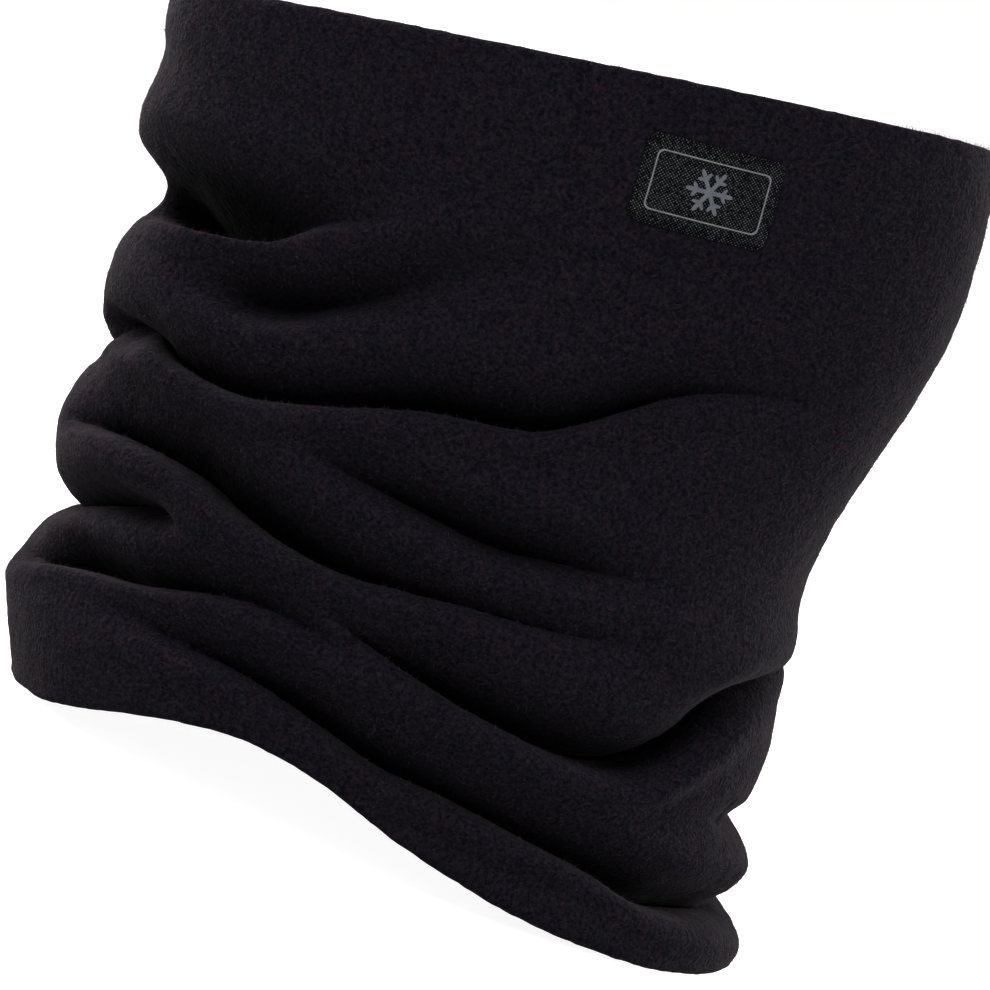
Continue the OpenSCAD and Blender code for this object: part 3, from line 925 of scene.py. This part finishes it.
def ring_part(skin, outer, inner, low, high):
    """A closed raised ring over the patch between an outer and an inner outline."""
    ring = np.concatenate([outer, inner])
    u, v, count = ring[:, 0], ring[:, 1], len(outer)
    points = np.concatenate([on_patch(skin, u, v, low + 0 * u), on_patch(skin, u, v, high + 0 * u)])
    outer_low, inner_low, outer_high, inner_high = (k * count for k in range(4))
    rounds = [(outer_low, outer_high), (outer_high, inner_high), (inner_high, inner_low),
              (inner_low, outer_low)]
    faces = [[a + k, a + (k + 1) % count, b + (k + 1) % count, b + k]
             for a, b in rounds for k in range(count)]
    return points, faces, np.concatenate([ring, ring])


def bar_part(skin, start, end, width, low, high):
    """A closed raised bar over the patch from one place to another."""
    start, end = np.array(start), np.array(end)
    length = np.linalg.norm(end - start)
    along = (end - start) / length
    side = np.array([-along[1], along[0]])
    steps = math.ceil(length / BAR_STEP) + 1
    reach = np.linspace(0, length, steps)
    half = np.full(steps, width / 2)
    half[-1] *= BAR_TAPER
    across = np.stack([-half, 0 * half, half])
    place = start + reach[None, :, None] * along + across[..., None] * side
    u, v = place[..., 0], place[..., 1]
    points, faces = closed_slab(on_patch(skin, u, v, low + 0 * u), on_patch(skin, u, v, high + 0 * u))
    flat = place.reshape(-1, 2)
    return points, faces, np.concatenate([flat, flat])


def patch_print(name, parts, material, node):
    """A raised screen print made of closed parts."""
    cloth = np.concatenate([part[2] for part in parts])
    cloth = np.column_stack([cloth, np.zeros(len(cloth))])
    points, faces = join_parts([part[:2] for part in parts])
    piece = add_mesh(name, points, faces, material, smooth=False, cloth=cloth)
    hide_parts(node)


def snowflake(skin, low, high):
    """A six-armed snowflake with one pair of twigs on each arm."""
    parts = []
    for k, turn in enumerate(np.radians(np.arange(0, 360, 60))):
        arm = np.array([math.cos(turn), math.sin(turn)])
        top = high + k * ARM_RISE
        parts.append(bar_part(skin, 0 * arm, arm * FLAKE_R, FLAKE_LINE, low, top))
        for side in np.radians([60, -60]):
            twig = np.array([math.cos(turn + side), math.sin(turn + side)])
            foot = arm * FLAKE_R * TWIG_AT
            parts.append(bar_part(skin, foot, foot + twig * FLAKE_R * TWIG_LENGTH,
                                  FLAKE_LINE * TWIG_WIDTH, low, top - TWIG_DROP))
    return parts


def woven_patch(skin):
    """Film, woven base, frame line and emblem, one on the other."""
    film_size = (PATCH_W - 2 * FILM_INSET, PATCH_H - 2 * FILM_INSET, PATCH_CORNER - FILM_INSET)
    patch_sheet("patch_adhesive_film", skin, film_size, 0, FILM_TOP, film_material(),
                "patch_adhesive_film")
    base = patch_sheet("patch_base", skin, (PATCH_W, PATCH_H, PATCH_CORNER), FILM_TOP, BASE_TOP,
                       patch_material(), "patch_base")
    border_look = print_material("border_print", (0.14, 0.14, 0.145), (0.11, 0.11, 0.115))
    emblem_look = print_material("emblem_print", (0.096, 0.102, 0.114), (0.078, 0.083, 0.093))
    outline = spread_ring(round_ring(FRAME_W, FRAME_H, FRAME_CORNER), RING_PITCH)
    inside = outline * np.array([1 - 2 * FRAME_LINE / FRAME_W, 1 - 2 * FRAME_LINE / FRAME_H])
    border = ring_part(skin, outline, inside, BASE_TOP - PRINT_SINK, PRINT_TOP)
    patch_print("patch_border_print", [border], border_look, "patch_border_print")
    flake = snowflake(skin, BASE_TOP - PRINT_SINK, PRINT_TOP)
    patch_print("patch_emblem_print", flake, emblem_look, "patch_emblem_print")


# ---------------------------------------------------------------- care label and small threads

SLEEVE_R = 0.65                        # middle of the ribbon where it turns round its stitches
SLEEVE_MOUTH = 50                      # half the angle at which the sleeve opens into its leaves
LABEL_LEN, LABEL_H, LABEL_TURN = 30, 22, -5    # its turn on the hinge is in degrees
RIBBON, LEAF_GAP = 0.2, 0.14           # ribbon's thickness, and half the way between its leaves
LEAF_PART, LABEL_CURL = 0.4, 0.7       # how far the leaves part and curl at the free end
LEAF_STEPS, SLEEVE_STEPS, LABEL_ROWS = 36, 27, 23
RIB_PITCH = 0.6


def ribbon_line():
    """Middle line of the folded ribbon seen along its hinge: out, round the stitches and back."""
    out = np.linspace(LABEL_LEN, SLEEVE_R * 1.6, LEAF_STEPS)
    gap = LEAF_GAP + LEAF_PART * ease((out - LABEL_LEN / 2) / (LABEL_LEN / 2)) ** 2
    turn = np.radians(np.linspace(SLEEVE_MOUTH, TURN - SLEEVE_MOUTH, SLEEVE_STEPS))
    sleeve = SLEEVE_R * np.stack([np.cos(turn), np.sin(turn)], -1)
    return np.concatenate([np.stack([out, gap], -1), sleeve, np.stack([out, -gap], -1)[::-1]])


def curled(flat, heights):
    """Points of one side of the ribbon: its line at each height, curled and turned on the hinge."""
    hinge = np.array(frame["joints"][0]["pos_m"]) / MM
    turn = math.radians(LABEL_TURN)
    spin = np.array([[math.cos(turn), -math.sin(turn)], [math.sin(turn), math.cos(turn)]])
    reach = ease(flat[:, 0] / LABEL_LEN)
    rows = []
    for share, z in zip(np.linspace(0, 1, len(heights)), heights):
        curl = LABEL_CURL * reach * (np.sin(2.2 * share + flat[:, 0] / 9) + 0.6 * share)
        bent = np.stack([flat[:, 0], flat[:, 1] - curl], -1) @ spin.T + hinge[:2]
        rows.append(np.column_stack([bent, np.full(len(bent), z)]))
    return np.array(rows)


def care_label(material):
    """A satin ribbon turned round its stitches, with its two leaves lying on each other."""
    low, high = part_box("care_label")
    line = ribbon_line()
    step = unit(np.gradient(line, axis=0))
    side = np.stack([step[:, 1], -step[:, 0]], -1)
    heights = np.linspace(low.z / MM, high.z / MM, LABEL_ROWS)
    faces = [curled(line + side * offset, heights) for offset in (RIBBON / 2, -RIBBON / 2)]
    length = np.concatenate([[0], np.cumsum(np.linalg.norm(np.diff(line, axis=0), axis=-1))])
    cloth = np.stack([*np.meshgrid(length, heights), np.zeros((len(heights), len(line)))], -1)
    cloth = np.concatenate([cloth.reshape(-1, 3)] * 2)
    piece = add_mesh("care_label_ribbon", *closed_slab(*faces), material, "care_label", cloth=cloth)
    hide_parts("care_label")


def wear(node, material):
    """Gives a CAD node that keeps its own shape a new material."""
    for spot in frame["nodes"][node].material_slots:
        spot.material = material


# ---------------------------------------------------------------- the build

add_camera()
add_studio()
shell_look = fleece_material("outer_fleece")
lining_look = fleece_material("lining_fleece")
thread_look = thread_material("black_thread", (0.02, 0.019, 0.022), (0.006, 0.006, 0.007))
outer_skin, outer_face, outer_fold = outer_layer(shell_look)
lining_face = lining_layer(lining_look)
outer_nap(outer_face, outer_fold, nap_material())
woven_patch(outer_skin)
care_label(satin_material())
stitch_look = thread_material("label_thread", (0.33, 0.33, 0.34), (0.2, 0.2, 0.21))
wear("care_label_stitch", stitch_look)
wear("top_edge_seam", thread_look)
wear("bottom_edge_seam", thread_look)
flatlock("outer_back_seam", outer_skin, 1, thread_look, "outer_back_seam")
flatlock("lining_back_seam", lining_face, -1, thread_look, "lining_back_seam")
